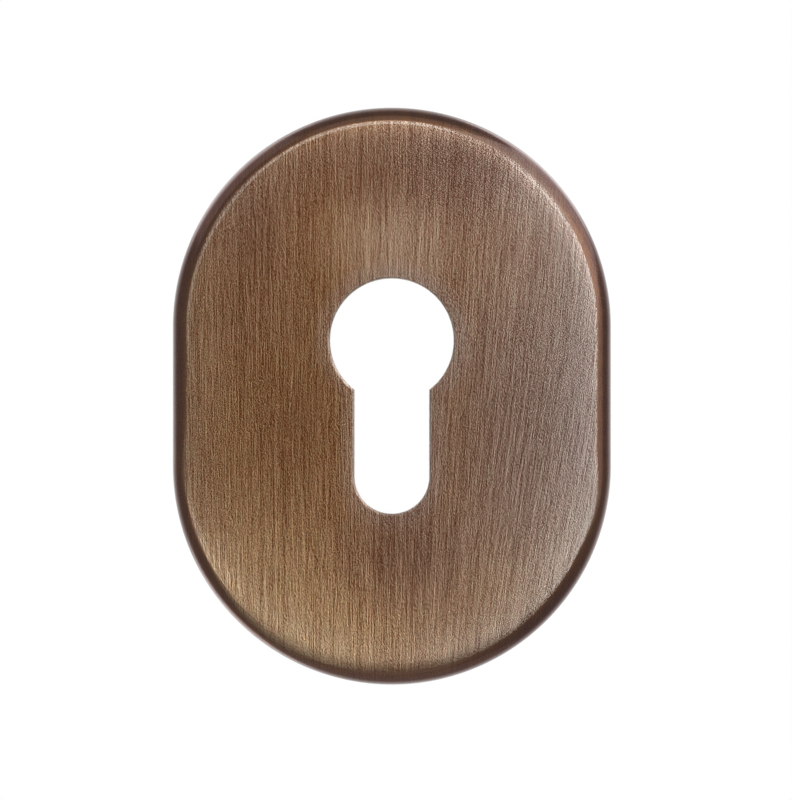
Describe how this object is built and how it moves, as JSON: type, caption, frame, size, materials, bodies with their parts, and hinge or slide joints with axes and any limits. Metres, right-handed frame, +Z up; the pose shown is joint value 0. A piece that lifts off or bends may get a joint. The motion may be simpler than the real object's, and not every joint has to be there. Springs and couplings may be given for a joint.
{
  "type": "cylinder escutcheon",
  "caption": "Oval cover plate pressed from brass sheet, with a keyhole-shaped cut-out that a profile lock cylinder passes through, brushed on its front and dark at its rounded rim.",
  "frame": {"origin": "middle of the cover's oval outline, in the plane of the door's surface that the skirt's edge rests on", "axes": "+Z up the door, along the oval's length; +Y into the door, so that the brushed front faces -Y; +X to the right as seen from the front"},
  "size_m": [0.063, 0.008, 0.083],
  "materials": {
    "antique_brass": "brushed antique brass, dark patina rubbed back on the front"
  },
  "bodies": {
    "root": {"cover": "antique_brass"}
  },
  "joints": []
}
